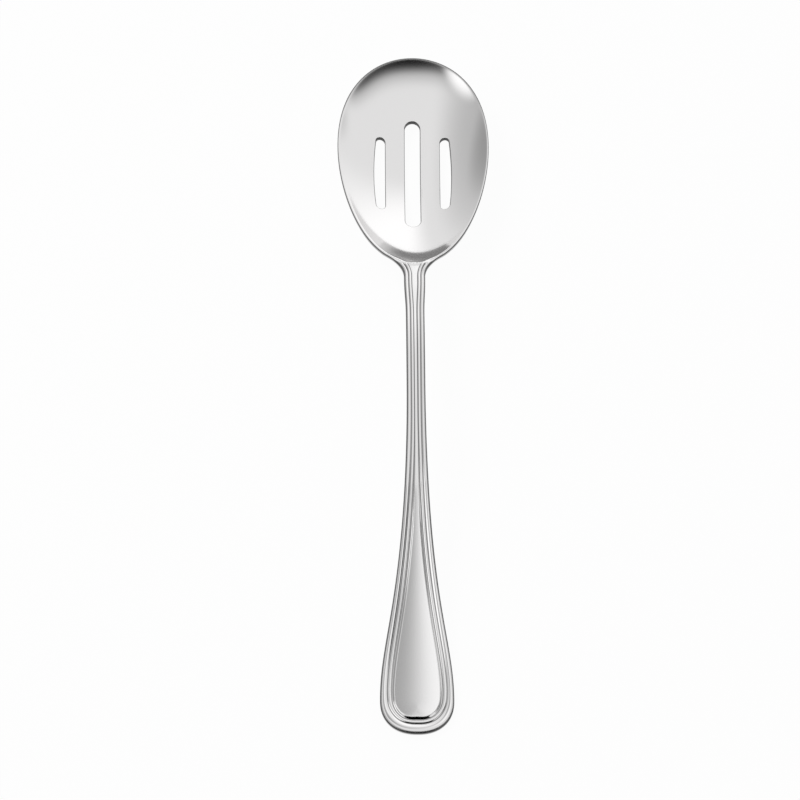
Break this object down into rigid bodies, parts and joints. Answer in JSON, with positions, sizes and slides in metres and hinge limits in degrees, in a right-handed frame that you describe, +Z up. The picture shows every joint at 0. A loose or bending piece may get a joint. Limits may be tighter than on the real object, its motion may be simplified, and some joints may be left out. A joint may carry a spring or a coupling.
{
  "type": "slotted serving spoon",
  "caption": "Long-handled serving spoon struck from one blank, with a pierced oval bowl and a double thread border round the handle.",
  "frame": {"origin": "on the table, under the middle of the spoon's length and width", "axes": "+Y along the spoon from the handle's end to the bowl's tip, +X across it, +Z up out of the bowl"},
  "size_m": [0.0626, 0.298, 0.0249],
  "materials": {
    "steel": "mirror-polished 18/8 stainless steel, slightly satin on the handle's panel"
  },
  "bodies": {
    "root": {"spoon": "steel"}
  },
  "joints": []
}
